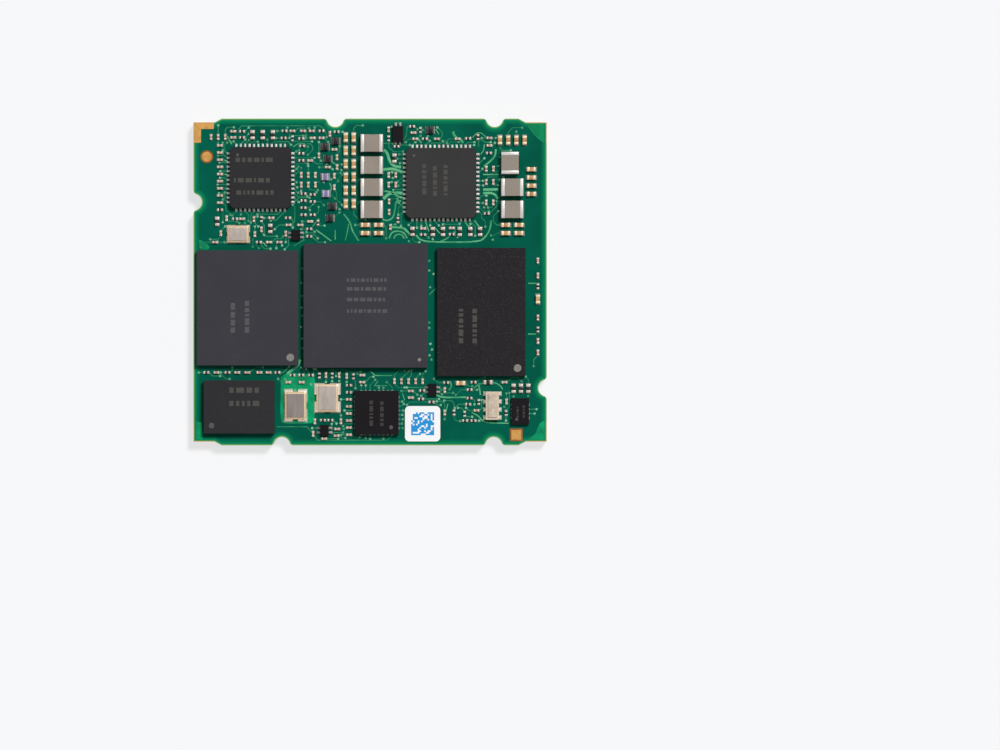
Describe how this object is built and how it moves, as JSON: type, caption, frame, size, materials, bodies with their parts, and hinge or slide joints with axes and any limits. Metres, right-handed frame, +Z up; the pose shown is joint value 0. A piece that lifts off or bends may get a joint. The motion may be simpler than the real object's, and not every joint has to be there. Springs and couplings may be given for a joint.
{
  "type": "system on module",
  "caption": "Flat system on module: a notched green circuit board with processor, memory, storage, network and power chips on top and rings of solder pads underneath.",
  "frame": {"origin": "centre of the module in plan, at the faces of the tallest parts under the board, on which it rests", "axes": "+Z up out of the top side, +X along the longer edge of the board, +Y along its shorter edge"},
  "size_m": [0.04, 0.037, 0.0033],
  "materials": {
    "board": "green solder mask over glass laminate",
    "gold": "gold plating",
    "tin": "tinned metal",
    "solder": "satin solder",
    "laminate": "cut laminate edge",
    "moulding": "matte moulding compound",
    "dark_moulding": "matte moulding compound",
    "package_ceramic": "fired ceramic",
    "lid": "satin metal lid",
    "ferrite": "coated ferrite",
    "capacitor_ceramic": "fired ceramic",
    "resistor_film": "glazed",
    "filter_ceramic": "fired ceramic",
    "label": "coated label stock"
  },
  "bodies": {
    "root": {"board": "board", "corner_plating": "gold", "alignment_marks": "gold", "carrier_pads": "tin", "processor_substrate": "laminate", "processor_cap": "moulding", "processor_balls": "solder", "memory_substrate": "laminate", "memory_cap": "dark_moulding", "memory_balls": "solder", "storage_substrate": "laminate", "storage_cap": "moulding", "storage_balls": "solder", "flash_substrate": "laminate", "flash_cap": "dark_moulding", "flash_balls": "solder", "network_chip": "moulding", "network_leads": "tin", "power_chip": "moulding", "power_leads": "tin", "interface_chip": "dark_moulding", "interface_leads": "tin", "identity_chip": "dark_moulding", "identity_leads": "tin", "clock_base": "package_ceramic", "clock_lid": "lid", "clock_pads": "tin", "crystal_bases": "package_ceramic", "crystal_lids": "lid", "crystal_pads": "tin", "inductor_cores": "ferrite", "inductor_terminals": "tin", "capacitor_bodies": "capacitor_ceramic", "capacitor_ends": "tin", "small_capacitor_bodies": "capacitor_ceramic", "small_capacitor_ends": "tin", "resistor_bodies": "resistor_film", "resistor_ends": "tin", "small_resistor_bodies": "resistor_film", "small_resistor_ends": "tin", "ferrite_beads": "resistor_film", "ferrite_bead_ends": "tin", "filter_chips": "filter_ceramic", "filter_chip_ends": "tin", "logic_chips": "dark_moulding", "logic_leads": "tin", "code_label": "label", "under_capacitor_bodies": "capacitor_ceramic", "under_capacitor_ends": "tin", "under_small_capacitor_bodies": "capacitor_ceramic", "under_small_capacitor_ends": "tin", "under_resistor_bodies": "resistor_film", "under_resistor_ends": "tin", "under_logic_chips": "dark_moulding", "under_logic_leads": "tin", "under_label": "label"}
  },
  "joints": []
}
